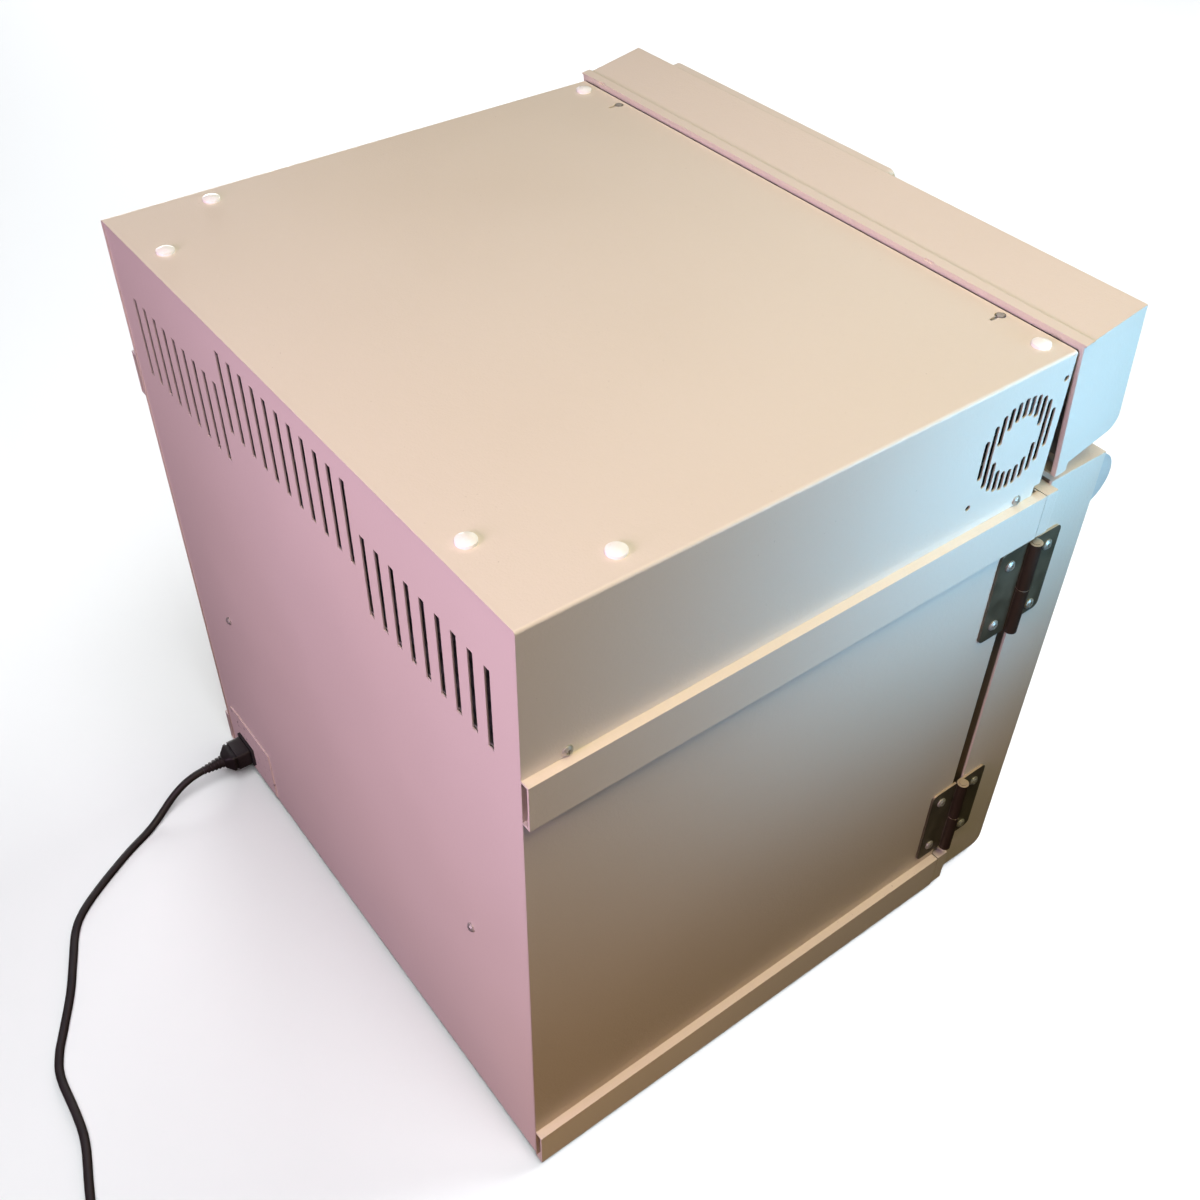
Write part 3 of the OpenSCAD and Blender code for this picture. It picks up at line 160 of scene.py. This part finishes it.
# Materials
class Shader:
    """A procedural material whose patterns are laid out in metres on the object."""

    def __init__(self, name, colour=(0.8, 0.8, 0.8), metallic=0.0, roughness=0.5, **sockets):
        self.material = bpy.data.materials.new(name)
        self.material.use_nodes = True
        self.tree = self.material.node_tree
        self.surface = self.tree.nodes["Principled BSDF"]
        self.surface.inputs["Base Color"].default_value = (*colour, 1)
        self.surface.inputs["Metallic"].default_value = metallic
        self.surface.inputs["Roughness"].default_value = roughness
        for socket, value in sockets.items():
            self.surface.inputs[socket.replace("_", " ")].default_value = value
        self.place = self.tree.nodes.new("ShaderNodeTexCoord").outputs["Object"]

    def link(self, source, target):
        """Connect a node's output, or set a plain value; a colour gets its alpha."""
        if isinstance(source, bpy.types.NodeSocket):
            self.tree.links.new(source, target)
            return
        if isinstance(source, tuple) and len(source) == 3 and len(target.default_value) == 4:
            source = (*source, 1)
        target.default_value = source

    def stretched(self, scale):
        mapping = self.tree.nodes.new("ShaderNodeMapping")
        self.link(self.place, mapping.inputs["Vector"])
        mapping.inputs["Scale"].default_value = scale
        return mapping.outputs["Vector"]

    def noise(self, scale, detail=2.0, roughness=0.5, where=None):
        node = self.tree.nodes.new("ShaderNodeTexNoise")
        self.link(where or self.place, node.inputs["Vector"])
        node.inputs["Scale"].default_value = scale
        node.inputs["Detail"].default_value = detail
        node.inputs["Roughness"].default_value = roughness
        return node.outputs["Fac"]

    def cells(self, scale, output="Distance", feature="F1"):
        node = self.tree.nodes.new("ShaderNodeTexVoronoi")
        node.feature = feature
        self.link(self.place, node.inputs["Vector"])
        node.inputs["Scale"].default_value = scale
        return node.outputs[output]

    def part(self, axis):
        """How far along the axis a point lies on the object."""
        node = self.tree.nodes.new("ShaderNodeSeparateXYZ")
        self.link(self.place, node.inputs[0])
        return node.outputs[axis]

    def facing(self, axis):
        """How squarely the surface faces along the axis."""
        geometry = self.tree.nodes.new("ShaderNodeNewGeometry")
        node = self.tree.nodes.new("ShaderNodeSeparateXYZ")
        self.link(geometry.outputs["True Normal"], node.inputs[0])
        return node.outputs[axis]

    def span(self, value, low, high, to_low=0.0, to_high=1.0):
        """Soft step from to_low to to_high while the value goes from low to high."""
        node = self.tree.nodes.new("ShaderNodeMapRange")
        node.interpolation_type = "SMOOTHSTEP"
        self.link(value, node.inputs["Value"])
        node.inputs["From Min"].default_value = low
        node.inputs["From Max"].default_value = high
        node.inputs["To Min"].default_value = to_low
        node.inputs["To Max"].default_value = to_high
        return node.outputs["Result"]

    def product(self, first, *others):
        for other in others:
            node = self.tree.nodes.new("ShaderNodeMath")
            node.operation = "MULTIPLY"
            self.link(first, node.inputs[0])
            self.link(other, node.inputs[1])
            first = node.outputs[0]
        return first

    def mix(self, factor, a, b):
        node = self.tree.nodes.new("ShaderNodeMix")
        node.data_type = "RGBA"
        self.link(factor, node.inputs["Factor"])
        self.link(a, node.inputs[6])
        self.link(b, node.inputs[7])
        return [o for o in node.outputs if o.type == "RGBA"][0]

    def colour(self, value):
        self.link(value, self.surface.inputs["Base Color"])

    def roughness(self, value):
        self.link(value, self.surface.inputs["Roughness"])

    def bumps(self, *layers, edge=0.0):
        """Layers are (height, depth in metres); edge rounds the look of sharp folds."""
        normal = None
        if edge:
            bevel = self.tree.nodes.new("ShaderNodeBevel")
            bevel.samples = 4
            bevel.inputs["Radius"].default_value = edge
            normal = bevel.outputs["Normal"]
        for height, depth in layers:
            bump = self.tree.nodes.new("ShaderNodeBump")
            bump.inputs["Strength"].default_value = 1.0
            bump.inputs["Distance"].default_value = depth
            self.link(height, bump.inputs["Height"])
            if normal:
                self.link(normal, bump.inputs["Normal"])
            normal = bump.outputs["Normal"]
        self.link(normal, self.surface.inputs["Normal"])


def side_painted_shade(shader, colour):
    """Painted shade: brown darkening that grows towards the bottom and the rear."""
    strength, front_share = 0.5, 0.62
    unshaded_height, shaded_height = 0.44, 0.05
    front, rear = -0.20, 0.20
    # Painted shade: the side is darkened towards the bottom and the rear, in wide patches.
    low_down = shader.span(shader.part("Z"), unshaded_height, shaded_height, 0.0, strength)
    towards_rear = shader.span(shader.part("Y"), front, rear, front_share, 1.0)
    patch = shader.span(shader.noise(3.5, 3), 0.2, 0.8, 0.8, 1.0)
    return shader.mix(shader.product(low_down, towards_rear, patch), colour, (0.25, 0.17, 0.085))


def rail_chips(shader, colour):
    """Small dark chips on top of the lower rails, in their front half."""
    above_rails, on_rails = 0.10, 0.06
    middle, front = 0.05, -0.10
    patches = shader.span(shader.noise(330, 3, 0.7), 0.67, 0.71)
    on_top = shader.span(shader.facing("Z"), 0.8, 0.95)
    low = shader.span(shader.part("Z"), above_rails, on_rails)
    forward = shader.span(shader.part("Y"), middle, front)
    return shader.mix(shader.product(patches, on_top, low, forward), colour, (0.12, 0.09, 0.07))


def plate_scuffs(shader, colour):
    """Dark scuffs all over."""
    scuffs = shader.span(shader.noise(150, 4, 0.75), 0.60, 0.66, 0.0, 0.85)
    return shader.mix(scuffs, colour, (0.11, 0.07, 0.06))


def rim_painted_shade(shader, colour):
    """Painted shade on the rear rim of the door skin, in the gap off its outer edge by the hinges."""
    before_rim, on_rim = -0.1866, -0.1858
    unshaded_edge, off_edge = -0.2572, -0.2560
    # Painted shade: the rim inside the gap is darkened.
    rear = shader.span(shader.part("Y"), before_rim, on_rim)
    inward = shader.span(shader.part("X"), unshaded_edge, off_edge)
    return shader.mix(shader.product(rear, inward), colour, (0.19, 0.15, 0.12))


def painted_sheet(name, under=None, over=None):
    """Off-white powder coat with a fine orange-peel skin; marks lie under or over its specks."""
    shader = Shader(name)
    clean = (0.76, 0.685, 0.60)
    warm = (0.74, 0.66, 0.565)
    colour = shader.mix(shader.span(shader.noise(2.2, 2), 0.35, 0.65), clean, warm)
    if under:
        colour = under(shader, colour)
    specks = shader.span(shader.noise(420, 2, 0.6), 0.74, 0.80, 0.0, 0.5)
    colour = shader.mix(specks, colour, (0.42, 0.36, 0.29))
    if over:
        colour = over(shader, colour)
    shader.colour(colour)
    shader.roughness(shader.span(shader.noise(6, 3), 0.3, 0.7, 0.36, 0.48))
    waves = shader.noise(170, 1, 0.5)
    peel = shader.noise(620, 2, 0.55)
    shader.bumps((waves, 0.00012), (peel, 0.00016), edge=0.0006)
    return shader.material


def zinc_sheet(name):
    """Galvanised sheet with its crystal pattern."""
    shader = Shader(name, metallic=1.0)
    flakes = shader.cells(160, "Color")
    shader.colour(shader.mix(shader.span(flakes, 0.0, 1.0), (0.50, 0.51, 0.52), (0.66, 0.67, 0.68)))
    shader.roughness(shader.span(shader.noise(40, 3), 0.3, 0.7, 0.34, 0.5))
    shader.bumps((shader.noise(300, 2), 0.00004), edge=0.0005)
    return shader.material


def brushed_steel(name):
    """Stainless steel brushed along X."""
    shader = Shader(name, metallic=0.6)
    lines = shader.noise(1.0, 4, 0.65, where=shader.stretched((12, 700, 700)))
    shader.colour(shader.mix(lines, (0.60, 0.60, 0.60), (0.74, 0.74, 0.73)))
    shader.roughness(shader.span(lines, 0.25, 0.75, 0.24, 0.40))
    shader.bumps((lines, 0.00003), edge=0.0006)
    return shader.material


def bright_steel(name):
    """Plated screws and pins, slightly scuffed."""
    shader = Shader(name, metallic=0.55)
    scuffs = shader.noise(900, 3, 0.6)
    shader.colour(shader.mix(scuffs, (0.36, 0.35, 0.31), (0.56, 0.55, 0.50)))
    shader.roughness(shader.span(scuffs, 0.3, 0.7, 0.36, 0.50))
    shader.bumps((scuffs, 0.00003), edge=0.0003)
    return shader.material


def stained_steel(name):
    """Dull olive-brown hinge steel, rusty on the knuckles, with a painted highlight on the faces that
    point up.
    """
    shader = Shader(name, metallic=0.35)
    stain = shader.span(shader.noise(60, 4, 0.6), 0.35, 0.68)
    colour = shader.mix(stain, (0.090, 0.078, 0.052), (0.145, 0.127, 0.088))
    rubbed = shader.span(shader.noise(340, 3, 0.6), 0.70, 0.78, 0.0, 0.7)
    colour = shader.mix(rubbed, colour, (0.34, 0.31, 0.25))
    leaf_face, knuckle_flank = -0.2612, -0.2626
    knuckle = shader.span(shader.part("X"), leaf_face, knuckle_flank)
    colour = shader.mix(knuckle, colour, (0.042, 0.026, 0.018))
    # Painted highlight: faces that point up are made lighter.
    upward_highlight = shader.span(shader.facing("Z"), 0.6, 0.9)
    colour = shader.mix(upward_highlight, colour, (0.50, 0.41, 0.30))
    shader.colour(colour)
    shader.roughness(shader.span(stain, 0.0, 1.0, 0.40, 0.52))
    shader.bumps((shader.noise(1400, 2), 0.00003), edge=0.0005)
    return shader.material


def moulded_plastic(name, colour, roughness, grain=1500, depth=0.00003, darker=0.86):
    """Plastic or rubber with a fine grain, shaded in wide patches down to the darker share."""
    shader = Shader(name)
    shade = tuple(c * darker for c in colour)
    shader.colour(shader.mix(shader.span(shader.noise(35, 3), 0.3, 0.7), colour, shade))
    shader.roughness(shader.span(shader.noise(120, 3), 0.3, 0.7, roughness - 0.05, roughness + 0.07))
    shader.bumps((shader.noise(grain, 2), depth), edge=0.0004)
    return shader.material


def fibre_wool(name, colour):
    """Insulation with strands that run along X."""
    shader = Shader(name, roughness=0.95)
    strands = shader.noise(1.0, 5, 0.7, where=shader.stretched((160, 900, 900)))
    darker = tuple(c * 0.6 for c in colour)
    shader.colour(shader.mix(strands, darker, colour))
    shader.bumps((strands, 0.0006))
    return shader.material


def circuit_board(name):
    """Green board with dark tracks."""
    shader = Shader(name, roughness=0.4)
    tracks = shader.span(shader.cells(260, feature="DISTANCE_TO_EDGE"), 0.02, 0.06)
    shader.colour(shader.mix(tracks, (0.05, 0.24, 0.12), (0.02, 0.13, 0.06)))
    shader.bumps((tracks, 0.00004), edge=0.0003)
    return shader.material


def dark_window(name):
    """Glossy dark cover of the display."""
    shader = Shader(name, colour=(0.012, 0.012, 0.014), Coat_Weight=0.6)
    shader.roughness(shader.span(shader.noise(90, 3), 0.35, 0.65, 0.05, 0.12))
    shader.bumps((shader.noise(1800, 1), 0.000004), edge=0.0004)
    return shader.material


def laminated_iron(name):
    """Transformer core of stacked sheets."""
    shader = Shader(name, metallic=0.6)
    sheets = shader.span(shader.noise(1.0, 1, 0.5, where=shader.stretched((2, 1600, 2))), 0.4, 0.6)
    shader.colour(shader.mix(sheets, (0.10, 0.09, 0.08), (0.26, 0.24, 0.22)))
    shader.roughness(shader.span(sheets, 0.0, 1.0, 0.4, 0.6))
    shader.bumps((sheets, 0.00008), edge=0.0005)
    return shader.material


finish = {
    "painted_case": painted_sheet("painted_case"),
    "painted_rails": painted_sheet("painted_rails", over=rail_chips),
    "plain_sheet": zinc_sheet("plain_sheet"),
    "stainless": brushed_steel("stainless"),
    "screw_steel": bright_steel("screw_steel"),
    "hinge_steel": stained_steel("hinge_steel"),
    "white_plug": moulded_plastic("white_plug", (0.98, 0.97, 0.96), 0.30, darker=0.96),
    "black_rubber": moulded_plastic(
        "black_rubber", (0.013, 0.010, 0.0095), 0.48, grain=900, depth=0.00005,
    ),
    "seal_rubber": moulded_plastic("seal_rubber", (0.05, 0.05, 0.052), 0.6, grain=700, depth=0.00008),
    "wool": fibre_wool("wool", (0.78, 0.66, 0.34)),
    "foam": fibre_wool("foam", (0.80, 0.76, 0.64)),
    "heater_foil": moulded_plastic("heater_foil", (0.48, 0.16, 0.07), 0.6, grain=500, depth=0.0001),
    "board": circuit_board("board"),
    "black_plastic": moulded_plastic("black_plastic", (0.02, 0.02, 0.021), 0.38),
    "grey_plastic": moulded_plastic("grey_plastic", (0.30, 0.32, 0.34), 0.42),
    "panel_plastic": moulded_plastic("panel_plastic", (0.76, 0.69, 0.61), 0.44, darker=0.97),
    "window": dark_window("window"),
    "cap_plastic": moulded_plastic("cap_plastic", (0.66, 0.64, 0.60), 0.38),
    "iron_core": laminated_iron("iron_core"),
}
special_paint = {
    "door_skin": painted_sheet("painted_door_skin", over=rim_painted_shade),
    "side_panels": painted_sheet("painted_sides", under=side_painted_shade),
    "inlet_plate": painted_sheet("painted_inlet_plate", over=plate_scuffs),
}
slot_of = {part["node"]: part["material_slot"] for part in frame["record"]["subparts"]}
for node_name, node in cad_nodes.items():
    material = special_paint.get(node_name, finish[slot_of[node_name]])
    for holder in node.material_slots:
        holder.material = material


# Mains lead: out of its connector, down to the bench, along it and into a coil
CORD_DIAMETER = 0.007
RUN = [
    (223, 302, 29), (223, 309, 28.3), (223, 317, 26.2), (222.5, 325, 23), (221.5, 333, 18.8),
    (219.5, 341, 14.4), (216.5, 349, 10.3), (213, 357, 7), (209, 366, 4.6), (204, 377, 3.6),
    (197, 392, 3.5), (182, 418, 3.5), (167, 441, 3.5), (155, 455, 3.5), (141, 465, 3.5),
    (117, 476, 3.5), (87, 490, 3.5), (56, 508, 3.5), (40, 517, 3.5), (20, 523.5, 3.5),
    (-16, 525, 3.5), (-43, 528, 3.5), (-79, 539, 3.5), (-105, 546, 3.5),
]
COIL_CENTRE = (-130, 597.5)
COIL_INNER = 31.5
COIL_OUTER = 49.0
COIL_TURNS = 5
COIL_LAYERS = (3.5, 10.5)
CLIMB_TURNS = 0.3
TAIL = [
    (-140, 548.5, 10.8), (-150, 548.5, 12.2), (-160, 548.5, 14.8), (-170, 548.5, 17.4),
    (-178, 548.5, 18.5),
]


def smooth_line(points, steps):
    """Points on a Catmull-Rom curve through the given ones."""
    line = []
    for k in range(len(points) - 1):
        before = points[max(k - 1, 0)]
        a, b = points[k], points[k + 1]
        after = points[min(k + 2, len(points) - 1)]
        for step in range(steps):
            t = step / steps
            line.append(0.5 * (
                2 * a + (b - before) * t + (2 * before - 5 * a + 4 * b - after) * t * t
                + (3 * a - before - 3 * b + after) * t ** 3
            ))
    line.append(points[-1])
    return line


def coil_points():
    """Two flat spirals, inwards on the bench and then outwards on top."""
    per_turn = 24
    half = COIL_TURNS / 2
    points = []
    for k in range(COIL_TURNS * per_turn + 1):
        turn = k / per_turn
        radius = COIL_INNER + (COIL_OUTER - COIL_INNER) * abs(turn - half) / half
        angle = math.radians(-90 - 360 * turn)
        climb = min(max((turn - half) / CLIMB_TURNS + 0.5, 0), 1)
        climb = climb * climb * (3 - 2 * climb)
        height = COIL_LAYERS[0] + (COIL_LAYERS[1] - COIL_LAYERS[0]) * climb
        points.append((
            COIL_CENTRE[0] + radius * math.cos(angle), COIL_CENTRE[1] + radius * math.sin(angle), height,
        ))
    return points


def add_cord():
    """Round lead along its whole route, with its length."""
    route = [Vector(p) * MM for p in RUN + coil_points() + TAIL]
    line = smooth_line(route, 4)
    data = bpy.data.curves.new("mains_lead", "CURVE")
    data.dimensions = "3D"
    data.bevel_depth = CORD_DIAMETER / 2
    data.bevel_resolution = 5
    data.use_fill_caps = True
    spline = data.splines.new("POLY")
    spline.points.add(len(line) - 1)
    for point, place in zip(spline.points, line):
        point.co = (*place, 1)
    spline.use_smooth = True
    data.materials.append(finish["black_rubber"])
    cord = new_object("mains_lead", data, "root")
    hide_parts("mains_cord", "cord_coil")
    length = sum((b - a).length for a, b in zip(line, line[1:]))
    return cord, length


def add_connector():
    """Moulded connector in the inlet, with a grip that narrows into a ribbed neck."""
    low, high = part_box("mains_connector")
    start = Vector(((low.x + high.x) / 2, low.y, (low.z + high.z) / 2))
    grip_end = 0.0240
    grip = [
        (0.0000, 0.0119, 0.0089, 9), (0.0005, 0.0125, 0.0095, 9), (0.0132, 0.0125, 0.0095, 9),
        (0.0134, 0.0110, 0.0082, 9), (0.0154, 0.0110, 0.0082, 9), (0.0156, 0.0121, 0.0092, 9),
        (0.0176, 0.0119, 0.0091, 8), (0.0182, 0.0113, 0.0088, 7), (0.0212, 0.0082, 0.0074, 6),
        (0.0232, 0.0068, 0.0066, 4), (grip_end, 0.0060, 0.0060, 2.5),
    ]
    rib_pitch = 0.0036
    rib_height = 0.0003
    groove_depth = 0.0006
    neck = []
    for k in range(5):
        at = grip_end + rib_pitch * k
        r = 0.0057 - 0.0004 * k
        rib = r + rib_height
        groove = r - groove_depth
        neck += [(at + 0.0002, r, r, 2), (at + 0.0008, rib, rib, 2), (at + 0.0020, rib, rib, 2)]
        neck += [(at + 0.0024, groove, groove, 2), (at + 0.0034, groove, groove, 2)]
    neck += [(0.0432, 0.0040, 0.0040, 2), (0.0439, 0.0037, 0.0037, 2)]
    rings = rings_along(start, Y_AXIS, X_AXIS, Z_AXIS, grip + neck, count=48)
    connector = loft("lead_connector", rings, finish["black_rubber"])
    sharpen(connector)
    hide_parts("mains_connector")
    return connector


def add_plug_body(start):
    """Round plug body with a ribbed tail and a waist to grip."""
    rib_pitch = 0.0042
    rib_height = 0.0003
    tail = [(0.0000, 0.0042, 0.0042, 2)]
    for k in range(5):
        at = 0.001 + rib_pitch * k
        r = 0.0048 + 0.0005 * k
        rib = r + rib_height
        tail += [(at, r, r, 2), (at + 0.0024, rib, rib, 2)]
        tail += [(at + 0.0028, r - 0.0009, r - 0.0009, 2), (at + 0.0038, r - 0.0008, r - 0.0008, 2)]
    grip = [
        (0.0240, 0.0080, 0.0080, 2), (0.0270, 0.0112, 0.0120, 2.2), (0.0310, 0.0140, 0.0158, 2.4),
        (0.0360, 0.0150, 0.0172, 2.4), (0.0420, 0.0156, 0.0176, 2.4), (0.0480, 0.0168, 0.0180, 2.3),
        (0.0530, 0.0180, 0.0184, 2.1), (0.0560, 0.0185, 0.0185, 2), (0.0594, 0.0184, 0.0184, 2),
        (0.0600, 0.0178, 0.0178, 2),
    ]
    rings = rings_along(start, -X_AXIS, Y_AXIS, Z_AXIS, tail + grip, count=56)
    plug = loft("mains_plug_body", rings, finish["black_rubber"])
    sharpen(plug)
    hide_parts("mains_plug")
    return plug


def add_plug_pin(start, side):
    """Round pin with an insulating sleeve on its inner half."""
    body_length, half_spacing = 0.0595, 0.0095
    foot = start - X_AXIS * body_length + Y_AXIS * side * half_spacing
    end_name = "left" if side < 0 else "right"
    sleeve = [(0.0, 0.0023, 0.0023, 2), (0.0100, 0.0021, 0.0021, 2), (0.0101, 0.0017, 0.0017, 2)]
    pin = [
        (0.0098, 0.0020, 0.0020, 2), (0.0175, 0.0024, 0.0024, 2), (0.0190, 0.0021, 0.0021, 2),
        (0.0195, 0.0012, 0.0012, 2),
    ]
    pieces = []
    for kind, profile, slot in (("sleeve", sleeve, "black_rubber"), ("pin", pin, "screw_steel")):
        rings = rings_along(foot, -X_AXIS, Y_AXIS, Z_AXIS, profile, count=24)
        pieces.append(sharpen(loft(f"plug_{kind}_{end_name}", rings, finish[slot])))
    return pieces


def add_plug():
    """Two-pin plug at the end of the lead."""
    start = Vector(TAIL[-1]) * MM
    return [add_plug_body(start), *add_plug_pin(start, -1), *add_plug_pin(start, 1)]


def add_cord_tie():
    """Flat band round the wound turns."""
    angle = math.radians(50)
    half_width, half_height, thickness, half_length = 0.0130, 0.0069, 0.0006, 0.004
    squareness, count = 5, 40
    outward = Vector((math.cos(angle), math.sin(angle), 0))
    along = Vector((-math.sin(angle), math.cos(angle), 0))
    middle_radius = (COIL_INNER + COIL_OUTER) / 2 * MM
    middle_height = sum(COIL_LAYERS) / 2 * MM
    middle = Vector((*COIL_CENTRE, 0)) * MM + outward * middle_radius + Z_AXIS * middle_height
    outer = superellipse(half_width, half_height, squareness, count)
    inner = superellipse(half_width - thickness, half_height - thickness, squareness, count)
    points = []
    for edge in (-half_length, half_length):
        for outline in (outer, inner):
            points += [middle + outward * u + Z_AXIS * v + along * edge for u, v in outline]
    faces = []
    for k in range(count):
        n = (k + 1) % count
        a, b, c, d = (k + count * ring for ring in range(4))
        an, bn, cn, dn = (n + count * ring for ring in range(4))
        faces += [(a, an, cn, c), (b, d, dn, bn), (a, b, bn, an), (c, cn, dn, d)]
    tie = mesh_piece("lead_tie", points, faces, finish["black_plastic"])
    return sharpen(tie)


connector = add_connector()
cord, cord_length = add_cord()
tie = add_cord_tie()
plug_pieces = add_plug()


# Floor and soft lights
def add_floor():
    """Pale ground that catches light but sends none back to the object."""
    shader = Shader("floor", roughness=0.85)
    shader.colour(shader.mix(shader.noise(1.5, 2), (0.90, 0.92, 0.94), (0.88, 0.90, 0.92)))
    mesh = bpy.data.meshes.new("floor")
    half = 12
    corners = [(-half, -half, 0), (half, -half, 0), (half, half, 0), (-half, half, 0)]
    mesh.from_pydata(corners, [], [(0, 1, 2, 3)])
    mesh.materials.append(shader.material)
    floor = bpy.data.objects.new("floor", mesh)
    scene.collection.objects.link(floor)
    floor.visible_diffuse = False
    floor.visible_glossy = False
    return floor


floor = add_floor()


def add_light(name, place, target, size, watts, colour=(1, 1, 1), spread=180):
    """Soft rectangular light aimed at its target; its spread is in degrees."""
    data = bpy.data.lights.new(name, "AREA")
    data.shape = "RECTANGLE"
    data.size, data.size_y = size
    data.energy = watts
    data.color = colour
    data.spread = math.radians(spread)
    light = bpy.data.objects.new(name, data)
    scene.collection.objects.link(light)
    light.location = place
    light.rotation_euler = (Vector(target) - Vector(place)).to_track_quat("-Z", "Y").to_euler()
    return light


def light_object(name, *settings):
    """Light that leaves the floor out."""
    light = add_light(name, *settings)
    skipped = bpy.data.collections.new(name + "_skips")
    skipped.objects.link(floor)
    light.light_linking.receiver_collection = skipped
    skipped.collection_objects[0].light_linking.link_state = "EXCLUDE"


def light_floor(name, place, width, watts):
    """White light on the floor alone."""
    light = add_light(name, place, (0, 0, 0), (width, width), watts)
    lit = bpy.data.collections.new(name + "_lights")
    lit.objects.link(floor)
    light.light_linking.receiver_collection = lit


def add_world():
    """Grey room above, dim warm below."""
    below = (0.014, 0.010, 0.006, 1)
    above = (0.036, 0.036, 0.036, 1)
    world = bpy.data.worlds.new("world")
    world.use_nodes = True
    tree = world.node_tree
    direction = tree.nodes.new("ShaderNodeTexCoord").outputs["Generated"]
    height = tree.nodes.new("ShaderNodeSeparateXYZ")
    tree.links.new(direction, height.inputs[0])
    ramp = tree.nodes.new("ShaderNodeValToRGB")
    ramp.color_ramp.elements[0].position = 0.0
    ramp.color_ramp.elements[0].color = below
    ramp.color_ramp.elements[1].position = 0.5
    ramp.color_ramp.elements[1].color = above
    tree.links.new(height.outputs["Z"], ramp.inputs["Fac"])
    tree.links.new(ramp.outputs["Color"], tree.nodes["Background"].inputs["Color"])
    scene.world = world


def add_object_lights():
    """Tinted lights on the object, each with its place, target, size, watts, colour and spread."""
    light_object("overhead", (-0.8, -0.1, 2.6), (0, 0, 0.4), (1.6, 1.6), 45.2, (1.0, 0.85, 0.43))
    light_object("sky", (0.3, -0.2, 2.8), (0, 0, 0.4), (2.2, 2.2), 15.3, (0.02, 0.29, 1.0))
    light_object(
        "behind", (-0.35, 1.5, 0.95), (-0.2, 0.25, 0.42), (0.6, 0.6), 8.4, (1.0, 0.69, 0.956), 120,
    )
    light_object(
        "side_front", (-0.75, -0.30, 0.56), (-0.262, -0.17, 0.53), (0.25, 0.2), 0.62,
        (0.22, 0.63, 1.0), 70,
    )
    light_object(
        "side_rear", (-0.95, -0.15, 0.58), (-0.262, -0.08, 0.54), (0.2, 0.5), 0.24,
        (0.68, 0.76, 1.0), 60,
    )
    light_object(
        "corner_low", (-0.7, 0.5, 0.05), (-0.262, 0.12, 0.05), (0.2, 0.2), 0.23,
        (1.0, 0.6, 0.25), 100,
    )
    light_object("front", (1.2, -2.4, 1.4), (0, -0.2, 0.3), (1.6, 1.4), 10, (1.0, 0.97, 0.94))
    light_object("front_fill", (1.5, -1.8, 0.42), (0, -0.2, 0.25), (1.0, 0.6), 30, (1.0, 0.98, 0.96))
    light_object("far_side", (2.3, -0.2, 0.42), (0.26, 0, 0.25), (1.4, 0.7), 30, (1.0, 0.98, 0.96))


def add_floor_lights():
    """White lights on the floor, each with its place, width and watts."""
    light_floor("floor_side", (-1.4, 0.6, 3.2), 2.0, 115)
    light_floor("floor_front", (-0.5, -2.4, 2.7), 2.0, 75)
    light_floor("floor_far", (3.0, -1.5, 1.6), 1.6, 50)


add_world()
add_object_lights()
add_floor_lights()
scene.view_settings.view_transform = "Standard"
